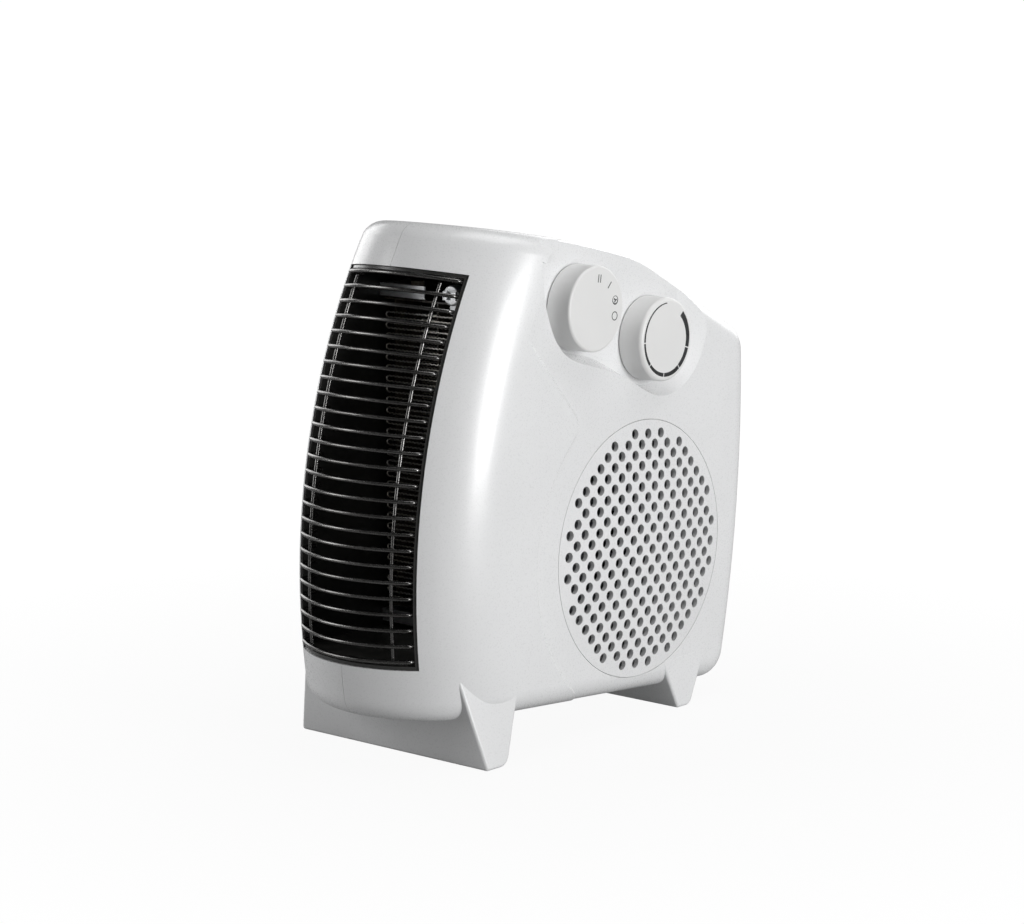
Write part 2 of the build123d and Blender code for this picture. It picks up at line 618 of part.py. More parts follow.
def write_outlet():
    save("outlet_duct", outlet_duct())
    save("guard_cross_wires", [cross_wire(n) for n in range(GUARD_WIRES)])
    save("guard_upright_wires", [upright_wire(x) for x in (-UPRIGHT_X, UPRIGHT_X)])
    save("mica_frame", element_frame())
    save("front_winding", winding(ELEMENT_FRONT + 0.1))
    save("rear_winding", winding(ELEMENT_BACK - 0.1))
    save("upper_element_bracket", element_bracket(205.5, 211.5))
    save("lower_element_bracket", element_bracket(51.0, 57.0))
    standoffs = [ceramic_standoff(x, 48.8, ELEMENT_LOW - 0.82) for x in (-20, 20)]
    standoffs += [ceramic_standoff(x, ELEMENT_TOP + 0.82, 212.4) for x in (-20, 20)]
    save("ceramic_standoffs", standoffs)
    save("thermal_cutout", thermal_cutout())
    save("thermal_fuse", thermal_fuse())


def write_controls():
    for name, y, z, crown, width, height, body in (
            ("selector", SELECTOR_Y, SELECTOR_Z, 1.2, 27, 27, "rotary_switch"),
            ("thermostat", THERMOSTAT_Y, THERMOSTAT_Z, 2.0, 24, 30, "thermostat_body")):
        save(f"{name}_knob", knob(y, z, crown))
        save(f"{name}_spindle", spindle(y, z))
        save(body, control_body(y, z, width, height))
    save("bush_nuts", [bush_nut(SELECTOR_Y, SELECTOR_Z), bush_nut(THERMOSTAT_Y, THERMOSTAT_Z)])


def write_blower():
    save("blower_wheel", blower_wheel())
    save("blower_scroll", scroll())
    save("motor_plate", motor_plate())
    save("motor_stator", motor_stator())
    save("motor_coil", motor_coil())
    save("motor_rotor", tube_x(DISC_Y, DISC_Z, ROTOR_R, MOTOR_SHAFT_R, STATOR_BACK,
                               STATOR_BACK + STATOR_LONG))
    save("motor_shaft", disc_x(DISC_Y, DISC_Z, MOTOR_SHAFT_R, REAR_BRACKET - 3, WHEEL_BACK + 13))
    stator_front = STATOR_BACK + STATOR_LONG
    save("rear_motor_bracket", motor_bracket(REAR_BRACKET, REAR_BRACKET + 0.6, STATOR_BACK - 0.02))
    save("front_motor_bracket", motor_bracket(FRONT_BRACKET, stator_front + 0.02,
                                              SCROLL_LOW - SCROLL_WALL - 1.04))
    save("motor_bearings", bearings())
    save("motor_screws", [motor_screw(y) for y in MOTOR_SCREW_Y])
    save("terminal_block", terminal_block())
    save("terminal_screws", terminal_screws())


write_housing()
write_outlet()
write_controls()
write_blower()
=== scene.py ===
"""Looks of an upright fan heater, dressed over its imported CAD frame.

Every CAD node keeps its shape and gets a finish. Added pieces are the printed marks on the knobs,
the crimped resistance wire and the weld spots of the wire guard.
"""

import json
import logging
import math
from collections.abc import Callable, Iterable, Sequence
from dataclasses import dataclass, field
from enum import Enum

import bmesh
import bpy
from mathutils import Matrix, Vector

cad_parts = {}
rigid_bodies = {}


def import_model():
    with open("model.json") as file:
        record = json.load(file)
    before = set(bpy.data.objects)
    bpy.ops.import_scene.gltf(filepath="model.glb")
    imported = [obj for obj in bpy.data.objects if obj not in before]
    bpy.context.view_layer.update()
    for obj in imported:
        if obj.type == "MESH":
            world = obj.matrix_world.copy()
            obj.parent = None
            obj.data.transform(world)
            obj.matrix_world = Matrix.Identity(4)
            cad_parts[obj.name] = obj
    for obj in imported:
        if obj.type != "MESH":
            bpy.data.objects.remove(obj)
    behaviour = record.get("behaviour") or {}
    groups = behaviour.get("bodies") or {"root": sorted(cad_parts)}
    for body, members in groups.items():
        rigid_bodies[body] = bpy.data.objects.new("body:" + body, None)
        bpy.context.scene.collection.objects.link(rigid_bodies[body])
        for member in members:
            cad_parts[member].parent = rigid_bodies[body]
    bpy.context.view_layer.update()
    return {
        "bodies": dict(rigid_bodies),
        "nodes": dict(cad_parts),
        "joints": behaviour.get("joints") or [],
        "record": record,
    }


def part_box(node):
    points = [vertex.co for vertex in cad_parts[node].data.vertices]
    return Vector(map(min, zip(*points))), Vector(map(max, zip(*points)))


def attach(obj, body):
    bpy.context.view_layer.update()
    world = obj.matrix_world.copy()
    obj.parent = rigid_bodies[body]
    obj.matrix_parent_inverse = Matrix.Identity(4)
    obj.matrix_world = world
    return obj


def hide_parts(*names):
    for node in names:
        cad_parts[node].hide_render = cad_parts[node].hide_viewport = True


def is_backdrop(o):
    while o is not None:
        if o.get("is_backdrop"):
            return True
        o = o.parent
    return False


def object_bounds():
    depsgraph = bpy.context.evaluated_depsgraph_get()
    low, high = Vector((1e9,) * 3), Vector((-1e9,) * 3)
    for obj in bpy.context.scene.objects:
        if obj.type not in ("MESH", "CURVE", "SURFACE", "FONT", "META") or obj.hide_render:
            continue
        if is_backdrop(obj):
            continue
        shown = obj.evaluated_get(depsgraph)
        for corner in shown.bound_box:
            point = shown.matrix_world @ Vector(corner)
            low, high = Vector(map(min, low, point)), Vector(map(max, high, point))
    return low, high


LOG = logging.getLogger("heater")
MM = 0.001
ROOT = "housing"

Colour = tuple[float, float, float]
Point = tuple[float, float, float]


class Slot(Enum):
    """Material slots of the record."""

    SHELL = "shell"
    KNOB = "knob"
    PAD_RUBBER = "pad_rubber"
    ZINC_STEEL = "zinc_steel"
    GLAND = "gland"
    DUCT = "duct"
    GUARD_WIRE = "guard_wire"
    MICA = "mica"
    RESISTANCE_WIRE = "resistance_wire"
    BRIGHT_STRIP = "bright_strip"
    CERAMIC = "ceramic"
    SWITCH_BODY = "switch_body"
    WHEEL_METAL = "wheel_metal"
    SCROLL_PLASTIC = "scroll_plastic"
    LAMINATION = "lamination"
    COIL = "coil"
    BRONZE = "bronze"


class Mark(Enum):
    """Printed marks of the selector knob."""

    TWO_BARS = "full_heat"
    ONE_BAR = "half_heat"
    FAN = "fan_only"
    RING = "off"


# ---------------------------------------------------------------- node helpers
class Graph:
    """A node tree that is filled with short calls."""

    def __init__(self, tree: bpy.types.NodeTree) -> None:
        """Starts from an empty tree.

        Args:
            tree: The material's or the group's own tree.
        """
        self.tree = tree
        tree.nodes.clear()

    def node(self, kind: str, inputs: dict[str | int, object] | None = None,
             **settings: object) -> bpy.types.Node:
        """Adds a node.

        Args:
            kind: Blender's node type, without the ShaderNode prefix.
            inputs: Values or output sockets for the node's inputs, by name or number.
            **settings: Properties of the node itself.

        Returns:
            The new node.
        """
        made = self.tree.nodes.new(kind if kind.startswith("NodeGroup") else "ShaderNode" + kind)
        for name, value in settings.items():
            setattr(made, name, value)
        for key, value in (inputs or {}).items():
            self.feed(made.inputs[key], value)
        return made

    def feed(self, socket: bpy.types.NodeSocket, value: object) -> None:
        """Links an output socket to a socket, or sets the socket's value.

        Args:
            socket: The input to fill.
            value: An output socket, a number or a tuple.
        """
        if isinstance(value, bpy.types.NodeSocket):
            self.tree.links.new(value, socket)
        elif isinstance(value, tuple) and len(value) == 3 and len(socket.default_value) == 4:
            socket.default_value = (*value, 1.0)
        else:
            socket.default_value = value

    def math(self, operation: str, a: object, b: object = 0.0,
             clamp: bool = False) -> bpy.types.NodeSocket:
        """Adds a math node and returns its output."""
        return self.node("Math", {0: a, 1: b}, operation=operation, use_clamp=clamp).outputs[0]

    def spread(self, value: object, low: float, high: float, to_low: float = 0.0,
               to_high: float = 1.0) -> bpy.types.NodeSocket:
        """Maps a range of values to another one, clamped.

        Args:
            value: The socket to map.
            low: Value that gives to_low.
            high: Value that gives to_high.
            to_low: Result at low.
            to_high: Result at high.

        Returns:
            The mapped socket.
        """
        inputs = {"Value": value, "From Min": low, "From Max": high,
                  "To Min": to_low, "To Max": to_high}
        return self.node("MapRange", inputs).outputs["Result"]

    def tint(self, mask: object, a: object, b: object) -> bpy.types.NodeSocket:
        """Mixes two colours by a mask and returns the colour socket."""
        mix = self.node("Mix", {"Factor": mask}, data_type="RGBA")
        self.feed(mix.inputs[6], a)
        self.feed(mix.inputs[7], b)
        return mix.outputs[2]

    def object_place(self) -> bpy.types.NodeSocket:
        """Returns the object coordinates, in metres."""
        return self.node("TexCoord").outputs["Object"]

    def noise(self, place: object, scale: float, detail: float = 3.0,
              roughness: float = 0.5) -> bpy.types.NodeSocket:
        """Adds a noise texture and returns its factor."""
        inputs = {"Vector": place, "Scale": scale, "Detail": detail, "Roughness": roughness}
        return self.node("TexNoise", inputs).outputs["Fac"]


def new_group(name: str, takes: dict[str, float | tuple], gives: dict[str, str]
              ) -> tuple[Graph, bpy.types.Node, bpy.types.Node]:
    """Makes a shader node group with its sockets.

    Args:
        name: The group's name.
        takes: Input names and default values; a tuple makes a vector socket.
        gives: Output names and socket kinds, such as Float or Color.

    Returns:
        The group's graph, its input node and its output node.
    """
    tree = bpy.data.node_groups.new(name, "ShaderNodeTree")
    graph = Graph(tree)
    for title, value in takes.items():
        kind = "Vector" if isinstance(value, tuple) else "Float"
        socket = tree.interface.new_socket(title, in_out="INPUT", socket_type=f"NodeSocket{kind}")
        socket.default_value = value
    for title, kind in gives.items():
        tree.interface.new_socket(title, in_out="OUTPUT", socket_type=f"NodeSocket{kind}")
    return graph, tree.nodes.new("NodeGroupInput"), tree.nodes.new("NodeGroupOutput")


class Effects:
    """The surface effects that several finishes share, as node groups."""

    def __init__(self) -> None:
        """Builds every group once."""
        self.grain = self._grain()
        self.cloud = self._cloud()
        self.edge = self._edge()
        self.brushing = self._brushing()
        self.dust = self._dust()

    @staticmethod
    def _grain() -> bpy.types.NodeTree:
        """Fine spark-eroded texture of a mould: a height and a matching gloss mask."""
        graph, given, out = new_group("moulded_grain", {"Scale": 1800.0, "Relief": 0.5},
                                      {"Height": "Float", "Gloss": "Float"})
        place = graph.object_place()
        cells = graph.node("TexVoronoi", {"Vector": place, "Scale": given.outputs["Scale"]},
                           feature="SMOOTH_F1").outputs["Distance"]
        half = graph.math("MULTIPLY", given.outputs["Scale"], 0.5)
        speck = graph.node("TexNoise", {"Vector": place, "Scale": half, "Detail": 2.0})
        mixed = graph.math("ADD", graph.math("MULTIPLY", cells, 0.6),
                           graph.math("MULTIPLY", speck.outputs["Fac"], 0.4))
        graph.feed(out.inputs["Height"], graph.math("MULTIPLY", mixed, given.outputs["Relief"]))
        graph.feed(out.inputs["Gloss"], graph.spread(mixed, 0.25, 0.75))
        return graph.tree

    @staticmethod
    def _cloud() -> bpy.types.NodeTree:
        """Slow change of tone over a surface, and a finer speckle, both as masks."""
        graph, given, out = new_group("tone_cloud", {"Scale": 22.0, "Speckle Scale": 900.0},
                                      {"Mask": "Float", "Speckle": "Float"})
        place = graph.object_place()
        slow = graph.node("TexNoise", {"Vector": place, "Scale": given.outputs["Scale"],
                                       "Detail": 4.0, "Roughness": 0.55})
        fine = graph.node("TexNoise", {"Vector": place, "Detail": 1.0,
                                       "Scale": given.outputs["Speckle Scale"]})
        graph.feed(out.inputs["Mask"], graph.spread(slow.outputs["Fac"], 0.35, 0.65))
        graph.feed(out.inputs["Speckle"], graph.spread(fine.outputs["Fac"], 0.55, 0.7))
        return graph.tree

    @staticmethod
    def _edge() -> bpy.types.NodeTree:
        """Mask of the worn outer edges, broken up by noise."""
        graph, given, out = new_group("edge_rub", {"Reach": 0.0008, "Amount": 0.6},
                                      {"Mask": "Float"})
        bevel = graph.node("Bevel", {"Radius": given.outputs["Reach"]}, samples=4)
        flat = graph.node("NewGeometry").outputs["Normal"]
        agree = graph.node("VectorMath", {0: bevel.outputs[0], 1: flat},
                           operation="DOT_PRODUCT").outputs["Value"]
        turn = graph.spread(agree, 0.99, 0.9)
        broken = graph.spread(graph.noise(graph.object_place(), 420.0), 0.38, 0.62)
        mask = graph.math("MULTIPLY", turn, graph.math("MULTIPLY", broken, given.outputs["Amount"]))
        graph.feed(out.inputs["Mask"], mask)
        return graph.tree

    @staticmethod
    def _brushing() -> bpy.types.NodeTree:
        """Drawn or rolled lines of a metal along one direction: height and mask."""
        graph, given, out = new_group(
            "drawn_lines", {"Stretch": (60.0, 2500.0, 2500.0)},
            {"Height": "Float", "Mask": "Float"})
        scaled = graph.node("VectorMath", {0: graph.object_place(), 1: given.outputs["Stretch"]},
                            operation="MULTIPLY").outputs["Vector"]
        lines = graph.noise(scaled, 1.0, 4.0, 0.6)
        graph.feed(out.inputs["Height"], lines)
        graph.feed(out.inputs["Mask"], graph.spread(lines, 0.35, 0.65))
        return graph.tree

    @staticmethod
    def _dust() -> bpy.types.NodeTree:
        """Mask of the lint that settles on faces that look up."""
        graph, given, out = new_group("settled_dust", {"Amount": 0.5}, {"Mask": "Float"})
        normal = graph.node("NewGeometry").outputs["Normal"]
        up = graph.node("SeparateXYZ", {"Vector": normal}).outputs["Z"]
        fluff = graph.spread(graph.noise(graph.object_place(), 160.0, 5.0), 0.4, 0.7)
        mask = graph.math("MULTIPLY", graph.spread(up, 0.1, 0.9), fluff)
        graph.feed(out.inputs["Mask"], graph.math("MULTIPLY", mask, given.outputs["Amount"]))
        return graph.tree


# ---------------------------------------------------------------- finishes
def new_material(name: str) -> tuple[bpy.types.Material, Graph, bpy.types.Node]:
    """Makes a material with a Principled shader and its output.

    Args:
        name: The material's name.

    Returns:
        The material, its graph and the Principled node.
    """
    material = bpy.data.materials.new(name)
    material.use_nodes = True
    graph = Graph(material.node_tree)
    shader = graph.node("BsdfPrincipled")
    graph.node("OutputMaterial", {"Surface": shader.outputs["BSDF"]})
    return material, graph, shader


def place_group(graph: Graph, tree: bpy.types.NodeTree,
                values: dict[str, object]) -> bpy.types.Node:
    """Places a shared effect group in a material with the material's own values."""
    made = graph.node("Group", node_tree=tree)
    for key, value in values.items():
        graph.feed(made.inputs[key], value)
    return made


def raise_surface(graph: Graph, shader: bpy.types.Node, height: object, distance: float,
                  strength: float = 1.0) -> None:
    """Feeds a height to the shader's normal.

    Args:
        graph: The material's graph.
        shader: The Principled node.
        height: Socket with the height, from 0 to 1.
        distance: Real height of 1, in metres.
        strength: Share of the bump that is used.
    """
    bump = graph.node("Bump", {"Height": height, "Distance": distance, "Strength": strength})
    graph.feed(shader.inputs["Normal"], bump.outputs["Normal"])


@dataclass(frozen=True)
class MouldedPlastic:
    """Injection-moulded plastic: even tone, spark-eroded grain and edges polished by handling.

    Colours are linear; the relief is in metres.
    """

    name: str
    base: Colour
    deep: Colour
    roughness: float
    roughness_swing: float = 0.08
    grain_scale: float = 1600.0
    relief: float = 0.00002
    coat: float = 0.0
    rubbed: Colour | None = None
    rub: float = 0.0
    dust: float = 0.0
    dust_colour: Colour = (0.32, 0.30, 0.28)
    ior: float = 1.5

    def build(self, effects: Effects) -> bpy.types.Material:
        """Builds the material.

        Args:
            effects: The shared effect groups.

        Returns:
            The finished material.
        """
        material, graph, shader = new_material(self.name)
        cloud = place_group(graph, effects.cloud, {"Scale": 18.0})
        grain = place_group(graph, effects.grain, {"Scale": self.grain_scale, "Relief": 1.0})
        colour = graph.tint(cloud.outputs["Mask"], self.base, self.deep)
        rough = graph.spread(grain.outputs["Gloss"], 0.0, 1.0, self.roughness - self.roughness_swing,
                             self.roughness + self.roughness_swing)
        if self.rubbed is not None:
            edge = place_group(graph, effects.edge, {"Amount": self.rub}).outputs["Mask"]
            colour = graph.tint(edge, colour, self.rubbed)
        if self.dust:
            dust = place_group(graph, effects.dust, {"Amount": self.dust}).outputs["Mask"]
            colour = graph.tint(dust, colour, self.dust_colour)
            rough = graph.math("ADD", rough, graph.math("MULTIPLY", dust, 0.3), clamp=True)
        graph.feed(shader.inputs["Base Color"], colour)
        graph.feed(shader.inputs["Roughness"], rough)
        shader.inputs["IOR"].default_value = self.ior
        shader.inputs["Coat Weight"].default_value = self.coat
        shader.inputs["Coat Roughness"].default_value = self.roughness * 0.5
        raise_surface(graph, shader, grain.outputs["Height"], self.relief)
        return material


@dataclass(frozen=True)
class DrawnMetal:
    """Rolled, drawn or plated metal with lines along one direction and a light tarnish.

    stretch holds the line density along X, Y and Z; small means the lines run that way.
    """

    name: str
    base: Colour
    tarnish: Colour
    roughness: float
    stretch: Point = (80.0, 3000.0, 3000.0)
    relief: float = 0.00001
    rubbed: Colour = (0.85, 0.85, 0.84)
    rub: float = 0.4
    dust: float = 0.0
    anisotropy: float = 0.3

    def build(self, effects: Effects) -> bpy.types.Material:
        """Builds the material.

        Args:
            effects: The shared effect groups.

        Returns:
            The finished material.
        """
        material, graph, shader = new_material(self.name)
        lines = place_group(graph, effects.brushing, {"Stretch": self.stretch})
        cloud = place_group(graph, effects.cloud, {"Scale": 60.0, "Speckle Scale": 1400.0})
        colour = graph.tint(cloud.outputs["Mask"], self.base, self.tarnish)
        edge = place_group(graph, effects.edge, {"Reach": 0.0004, "Amount": self.rub})
        colour = graph.tint(edge.outputs["Mask"], colour, self.rubbed)
        rough = graph.spread(lines.outputs["Mask"], 0.0, 1.0, self.roughness * 0.75,
                             self.roughness * 1.3)
        metallic: object = 1.0
        if self.dust:
            dust = place_group(graph, effects.dust, {"Amount": self.dust}).outputs["Mask"]
            colour = graph.tint(dust, colour, (0.24, 0.23, 0.22))
            rough = graph.math("ADD", rough, graph.math("MULTIPLY", dust, 0.45), clamp=True)
            metallic = graph.math("SUBTRACT", 1.0, dust, clamp=True)
        graph.feed(shader.inputs["Base Color"], colour)
        graph.feed(shader.inputs["Roughness"], rough)
        graph.feed(shader.inputs["Metallic"], metallic)
        shader.inputs["Anisotropic"].default_value = self.anisotropy
        raise_surface(graph, shader, lines.outputs["Height"], self.relief, 0.6)
        return material


@dataclass(frozen=True)
class HeatedAlloy:
    """Resistance alloy after its first hours: matte oxide with straw and blue heat tints."""

    name: str
    oxide: Colour = (0.72, 0.71, 0.69)
    straw: Colour = (0.74, 0.69, 0.60)
    blue: Colour = (0.55, 0.57, 0.62)
    roughness: float = 0.4
    band: float = 46.0

    def build(self, effects: Effects) -> bpy.types.Material:
        """Builds the material.

        Args:
            effects: The shared effect groups.

        Returns:
            The finished material.
        """
        material, graph, shader = new_material(self.name)
        cloud = place_group(graph, effects.cloud, {"Scale": self.band, "Speckle Scale": 2200.0})
        warm = graph.tint(cloud.outputs["Mask"], self.oxide, self.straw)
        drift = graph.spread(graph.noise(graph.object_place(), self.band * 0.6), 0.52, 0.72)
        colour = graph.tint(drift, warm, self.blue)
        scale = cloud.outputs["Speckle"]
        graph.feed(shader.inputs["Base Color"], graph.tint(scale, colour, self.oxide))
        graph.feed(shader.inputs["Roughness"],
                   graph.spread(scale, 0.0, 1.0, self.roughness, self.roughness + 0.25))
        shader.inputs["Metallic"].default_value = 0.9
        raise_surface(graph, shader, scale, 0.00001, 0.7)
        return material


@dataclass(frozen=True)
class MicaBoard:
    """Pressed mica sheet: overlapping flakes with a pearly gloss and patchy scorching."""

    name: str
    flake: Colour = (0.105, 0.088, 0.066)
    binder: Colour = (0.030, 0.025, 0.020)
    roughness: float = 0.38

    def build(self, effects: Effects) -> bpy.types.Material:
        """Builds the material.

        Args:
            effects: The shared effect groups.

        Returns:
            The finished material.
        """
        material, graph, shader = new_material(self.name)
        flakes = graph.node("TexVoronoi", {"Vector": graph.object_place(), "Scale": 320.0,
                                           "Randomness": 1.0})
        tone = graph.node("SeparateColor", {"Color": flakes.outputs["Color"]}).outputs[0]
        cloud = place_group(graph, effects.cloud, {"Scale": 40.0})
        mixed = graph.math("MULTIPLY", tone, graph.spread(cloud.outputs["Mask"], 0.0, 1.0, 0.5, 1.0))
        graph.feed(shader.inputs["Base Color"], graph.tint(mixed, self.binder, self.flake))
        graph.feed(shader.inputs["Roughness"],
                   graph.spread(tone, 0.0, 1.0, self.roughness - 0.12, self.roughness + 0.2))
        raise_surface(graph, shader, tone, 0.00004, 0.5)
        return material


@dataclass(frozen=True)
class GlazedCeramic:
    """Steatite with a thin glaze, iron specks and a soft orange-peel surface."""

    name: str
    body: Colour = (0.72, 0.68, 0.60)
    warm: Colour = (0.62, 0.56, 0.46)
    speck: Colour = (0.30, 0.24, 0.18)

    def build(self, effects: Effects) -> bpy.types.Material:
        """Builds the material.

        Args:
            effects: The shared effect groups.

        Returns:
            The finished material.
        """
        material, graph, shader = new_material(self.name)
        cloud = place_group(graph, effects.cloud, {"Scale": 90.0, "Speckle Scale": 1500.0})
        colour = graph.tint(cloud.outputs["Mask"], self.body, self.warm)
        specks = graph.math("MULTIPLY", cloud.outputs["Speckle"], 0.35)
        peel = graph.noise(graph.object_place(), 700.0, 2.0)
        graph.feed(shader.inputs["Base Color"], graph.tint(specks, colour, self.speck))
        graph.feed(shader.inputs["Roughness"], graph.spread(peel, 0.3, 0.7, 0.16, 0.32))
        shader.inputs["Coat Weight"].default_value = 0.4
        shader.inputs["Coat Roughness"].default_value = 0.12
        raise_surface(graph, shader, peel, 0.00003, 0.4)
        return material


@dataclass(frozen=True)
class LaminationStack:
    """Punched electrical steel sheets seen on their cut edges, stacked along the shaft."""

    name: str
    sheet: float = 0.0005
    steel: Colour = (0.34, 0.34, 0.36)
    gap: Colour = (0.07, 0.065, 0.06)
    rust: Colour = (0.20, 0.11, 0.06)

    def build(self, effects: Effects) -> bpy.types.Material:
        """Builds the material.

        Args:
            effects: The shared effect groups.

        Returns:
            The finished material.
        """
        material, graph, shader = new_material(self.name)
        along = graph.node("SeparateXYZ", {"Vector": graph.object_place()}).outputs["X"]
        phase = graph.math("MULTIPLY", along, 2.0 * math.pi / self.sheet)
        ridge = graph.spread(graph.math("SINE", phase), -0.9, -0.3)
        cloud = place_group(graph, effects.cloud, {"Scale": 120.0, "Speckle Scale": 1100.0})
        face = graph.tint(graph.math("MULTIPLY", cloud.outputs["Speckle"], 0.6), self.steel,
                          self.rust)
        graph.feed(shader.inputs["Base Color"], graph.tint(ridge, self.gap, face))
        graph.feed(shader.inputs["Roughness"], graph.spread(ridge, 0.0, 1.0, 0.8, 0.42))
        shader.inputs["Metallic"].default_value = 0.85
        raise_surface(graph, shader, ridge, 0.00006)
        return material


@dataclass(frozen=True)
class WoundCoil:
    """Enamelled copper turns under a translucent tape, with painted shade in the grooves between
    turns.
    """

    name: str
    wire: float = 0.0006
    copper: Colour = (0.46, 0.16, 0.055)
    enamel_and_groove_shade: Colour = (0.22, 0.065, 0.025)

    def build(self, effects: Effects) -> bpy.types.Material:
        """Builds the material.

        Args:
            effects: The shared effect groups.

        Returns:
            The finished material.
        """
        material, graph, shader = new_material(self.name)
        along = graph.node("SeparateXYZ", {"Vector": graph.object_place()}).outputs["X"]
        wobble = graph.math("MULTIPLY", graph.noise(graph.object_place(), 260.0), 0.0004)
        phase = graph.math("MULTIPLY", graph.math("ADD", along, wobble),
                           2.0 * math.pi / self.wire)
        turn = graph.spread(graph.math("SINE", phase), -1.0, 1.0)
        cloud = place_group(graph, effects.cloud, {"Scale": 70.0})
        tone = graph.tint(cloud.outputs["Mask"], self.copper, self.enamel_and_groove_shade)
        # Painted shade: the grooves between turns take the darker enamel colour, and the crests keep
        # the copper tone.
        graph.feed(shader.inputs["Base Color"], graph.tint(turn, self.enamel_and_groove_shade, tone))
        graph.feed(shader.inputs["Roughness"], graph.spread(turn, 0.0, 1.0, 0.55, 0.3))
        shader.inputs["Metallic"].default_value = 0.35
        shader.inputs["Coat Weight"].default_value = 0.5
        shader.inputs["Coat Roughness"].default_value = 0.2
        raise_surface(graph, shader, turn, 0.0001)
        return material


@dataclass(frozen=True)
class PrintedInk:
    """Pad-printed ink: thin, slightly uneven, with a matte surface."""

    name: str
    ink: Colour
    thin: Colour

    def build(self, effects: Effects) -> bpy.types.Material:
        """Builds the material.

        Args:
            effects: The shared effect groups.

        Returns:
            The finished material.
        """
        material, graph, shader = new_material(self.name)
        cloud = place_group(graph, effects.cloud, {"Scale": 900.0, "Speckle Scale": 3500.0})
        grain = place_group(graph, effects.grain, {"Scale": 2600.0, "Relief": 1.0})
        pinholes = graph.math("MULTIPLY", cloud.outputs["Speckle"], 0.35)
        graph.feed(shader.inputs["Base Color"], graph.tint(pinholes, self.ink, self.thin))
        graph.feed(shader.inputs["Roughness"],
                   graph.spread(grain.outputs["Gloss"], 0.0, 1.0, 0.45, 0.65))
        raise_surface(graph, shader, grain.outputs["Height"], 0.00001)
        return material


Finish = (MouldedPlastic | DrawnMetal | HeatedAlloy | MicaBoard | GlazedCeramic
          | LaminationStack | WoundCoil | PrintedInk)

FINISHES: dict[Slot, Finish] = {
    Slot.SHELL: MouldedPlastic("white_abs", (0.80, 0.805, 0.81), (0.775, 0.78, 0.785), 0.3,
                               0.05, 1500.0, 0.000012, coat=0.15, rubbed=(0.86, 0.86, 0.86),
                               rub=0.25),
    Slot.KNOB: MouldedPlastic("satin_white_abs", (0.79, 0.79, 0.785), (0.765, 0.765, 0.76), 0.38,
                              0.06, 2100.0, 0.000016, rubbed=(0.85, 0.85, 0.85), rub=0.35),
    Slot.PAD_RUBBER: MouldedPlastic("grey_rubber", (0.40, 0.40, 0.40), (0.32, 0.32, 0.32), 0.72,
                                    0.1, 1200.0, 0.00006, dust=0.25),
    Slot.ZINC_STEEL: DrawnMetal("zinc_plate", (0.62, 0.63, 0.62), (0.48, 0.49, 0.46), 0.34),
    Slot.GLAND: MouldedPlastic("soft_grey_grommet", (0.56, 0.57, 0.58), (0.48, 0.49, 0.50), 0.55,
                               0.08, 1500.0, 0.00004, dust=0.2),
    Slot.DUCT: MouldedPlastic("black_heatproof", (0.024, 0.024, 0.023), (0.032, 0.032, 0.03), 0.34,
                              0.06, 1300.0, 0.00002, coat=0.3, rubbed=(0.05, 0.05, 0.05), rub=0.4,
                              dust=0.12),
    Slot.GUARD_WIRE: DrawnMetal("dark_nickel", (0.17, 0.168, 0.165), (0.10, 0.098, 0.095), 0.26,
                                (60.0, 1800.0, 1800.0), 0.000006, rub=0.2),
    Slot.MICA: MicaBoard("mica_sheet"),
    Slot.RESISTANCE_WIRE: HeatedAlloy("heat_tinted_alloy"),
    Slot.BRIGHT_STRIP: DrawnMetal("bright_aluminium", (0.92, 0.93, 0.94), (0.80, 0.81, 0.83), 0.45,
                                  (50.0, 2600.0, 1400.0), 0.000008, rub=0.3),
    Slot.CERAMIC: GlazedCeramic("steatite"),
    Slot.SWITCH_BODY: MouldedPlastic("black_thermoset", (0.035, 0.035, 0.038),
                                     (0.055, 0.053, 0.05), 0.5, 0.12, 1100.0, 0.00005,
                                     rubbed=(0.12, 0.12, 0.12), rub=0.5, dust=0.35),
    # Painted shade: the wheel's aluminium gets a dark grey base for its place deep inside the
    # housing. The dust on it is real.
    Slot.WHEEL_METAL: DrawnMetal("shade_darkened_aluminium", (0.40, 0.41, 0.43), (0.26, 0.27, 0.28),
                                 0.36, (900.0, 2400.0, 2400.0), 0.00001, dust=0.4),
    Slot.SCROLL_PLASTIC: MouldedPlastic("black_polypropylene", (0.03, 0.03, 0.032),
                                        (0.045, 0.045, 0.048), 0.46, 0.1, 900.0, 0.00005,
                                        dust=0.45),
    Slot.LAMINATION: LaminationStack("electrical_steel"),
    Slot.COIL: WoundCoil("enamelled_copper"),
    Slot.BRONZE: DrawnMetal("sintered_bronze", (0.58, 0.39, 0.19), (0.36, 0.23, 0.11), 0.42,
                            (1500.0, 1500.0, 1500.0), 0.00002),
}
DARK_INK = PrintedInk("charcoal_ink", (0.022, 0.023, 0.024), (0.10, 0.10, 0.10))


class Wardrobe:
    """Builds each finish once and hands out its material."""

    def __init__(self) -> None:
        """Builds the shared effects."""
        self.effects = Effects()
        self.made: dict[Finish, bpy.types.Material] = {}

    def of(self, finish: Finish) -> bpy.types.Material:
        """Returns the finish's material, built on first use."""
        if finish not in self.made:
            self.made[finish] = finish.build(self.effects)
        return self.made[finish]


